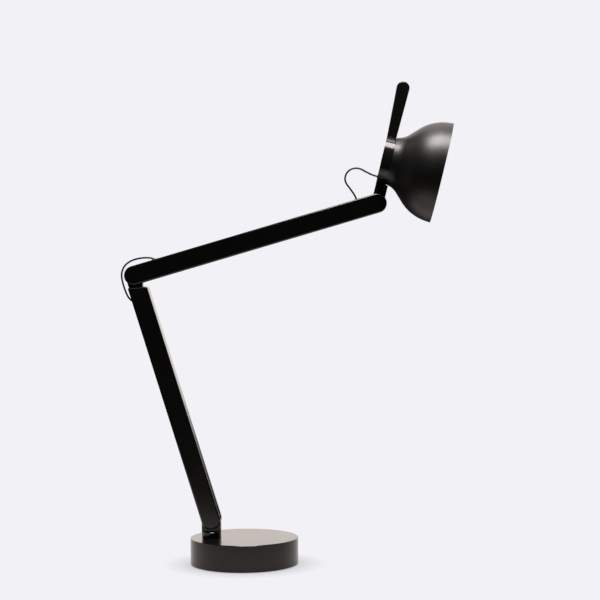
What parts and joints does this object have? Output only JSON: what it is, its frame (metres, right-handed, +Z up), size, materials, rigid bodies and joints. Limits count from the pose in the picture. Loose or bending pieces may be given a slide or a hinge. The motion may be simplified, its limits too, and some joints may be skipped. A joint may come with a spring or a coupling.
{
  "type": "desk lamp",
  "caption": "Two-arm desk lamp with a heavy round base, a swivel foot, friction-hinged square arms and a tilting bell shade with a grip on top.",
  "frame": {"origin": "middle of the base's pad on the table top", "axes": "+X towards the side the shade faces, +Z up, +Y to the lamp's far side, where the hinge screws' heads and the cable gland are; the arms lie in the plane Y = 0"},
  "size_m": [0.5214, 0.1712, 0.7523],
  "materials": {
    "black_steel": "satin",
    "black_aluminium": "satin",
    "bare_aluminium": "satin",
    "cast_iron": "matte",
    "plain_steel": "satin",
    "black_screw": "satin",
    "bronze": "satin",
    "black_rubber": "matte",
    "cable_black": "satin",
    "black_plastic": "matte",
    "pale_plastic": "matte",
    "white_plastic": "gloss",
    "opal_plastic": "satin",
    "white_board": "satin",
    "green_board": "satin",
    "led_phosphor": "satin"
  },
  "bodies": {
    "base": {"base_shell": "black_steel", "base_weight": "cast_iron", "base_plate": "plain_steel", "base_pad": "black_rubber", "plate_screws": "plain_steel", "cable_gland": "black_plastic", "base_lead": "cable_black", "swivel_slip_ring": "black_plastic"},
    "swivel": {"swivel_knuckle": "black_aluminium", "swivel_spindle": "plain_steel", "spindle_washer": "plain_steel", "spindle_spring": "plain_steel", "spindle_nut": "plain_steel", "lower_hinge_bush": "bronze"},
    "lower_arm": {"lower_clevis": "black_aluminium", "lower_tube": "black_aluminium", "elbow_tongue": "black_aluminium", "lower_hinge_screw": "black_screw", "lower_hinge_spring": "plain_steel", "lower_friction_washers": "pale_plastic", "elbow_hinge_bush": "bronze", "lower_arm_grommet": "black_rubber", "lower_arm_screws": "black_screw", "lower_arm_lead": "cable_black"},
    "upper_arm": {"elbow_clevis": "black_aluminium", "upper_tube": "black_aluminium", "head_clevis": "black_aluminium", "elbow_hinge_screw": "black_screw", "elbow_hinge_spring": "plain_steel", "elbow_friction_washers": "pale_plastic", "head_hinge_screw": "black_screw", "head_hinge_spring": "plain_steel", "head_friction_washers": "pale_plastic", "upper_elbow_grommet": "black_rubber", "upper_head_grommet": "black_rubber", "upper_arm_screws": "black_screw", "upper_arm_lead": "cable_black", "cable_elbow_loop": "cable_black"},
    "head": {"head_paddle": "black_aluminium", "head_hinge_bush": "bronze", "head_grommet": "black_rubber", "shade": "black_aluminium", "shade_screws": "plain_steel", "heat_spreader": "bare_aluminium", "led_board": "white_board", "led_chips": "led_phosphor", "reflector": "white_plastic", "diffuser": "opal_plastic", "diffuser_ring": "black_plastic", "control_board": "green_board", "tactile_switch": "black_plastic", "led_lead": "cable_black", "head_lead": "cable_black", "cable_head_loop": "cable_black"},
    "button": {"switch_button": "black_plastic"}
  },
  "joints": [
    {"name": "swivel_turn", "type": "hinge", "parent": "base", "child": "swivel", "pos_m": [-0.0515, 0, 0.0424], "axis": [0, 0, 1], "range_deg": [-170, 170]},
    {"name": "lower_arm_tilt", "type": "hinge", "parent": "swivel", "child": "lower_arm", "pos_m": [-0.0515, 0, 0.07085], "axis": [0, 1, 0], "range_deg": [-45, 79]},
    {"name": "elbow_bend", "type": "hinge", "parent": "lower_arm", "child": "upper_arm", "pos_m": [-0.1691, 0, 0.45453], "axis": [0, 1, 0], "range_deg": [-90, 20], "deforming": ["cable_elbow_loop"]},
    {"name": "head_tilt", "type": "hinge", "parent": "upper_arm", "child": "head", "pos_m": [0.21127, 0, 0.56432], "axis": [0, 1, 0], "range_deg": [-50, 110], "deforming": ["cable_head_loop"]},
    {"name": "button_press", "type": "slide", "parent": "head", "child": "button", "axis": [0.9711, 0, -0.2385], "range_m": [0, 0.001], "stiffness_N_per_m": 1500, "springref_m": -0.0005}
  ]
}
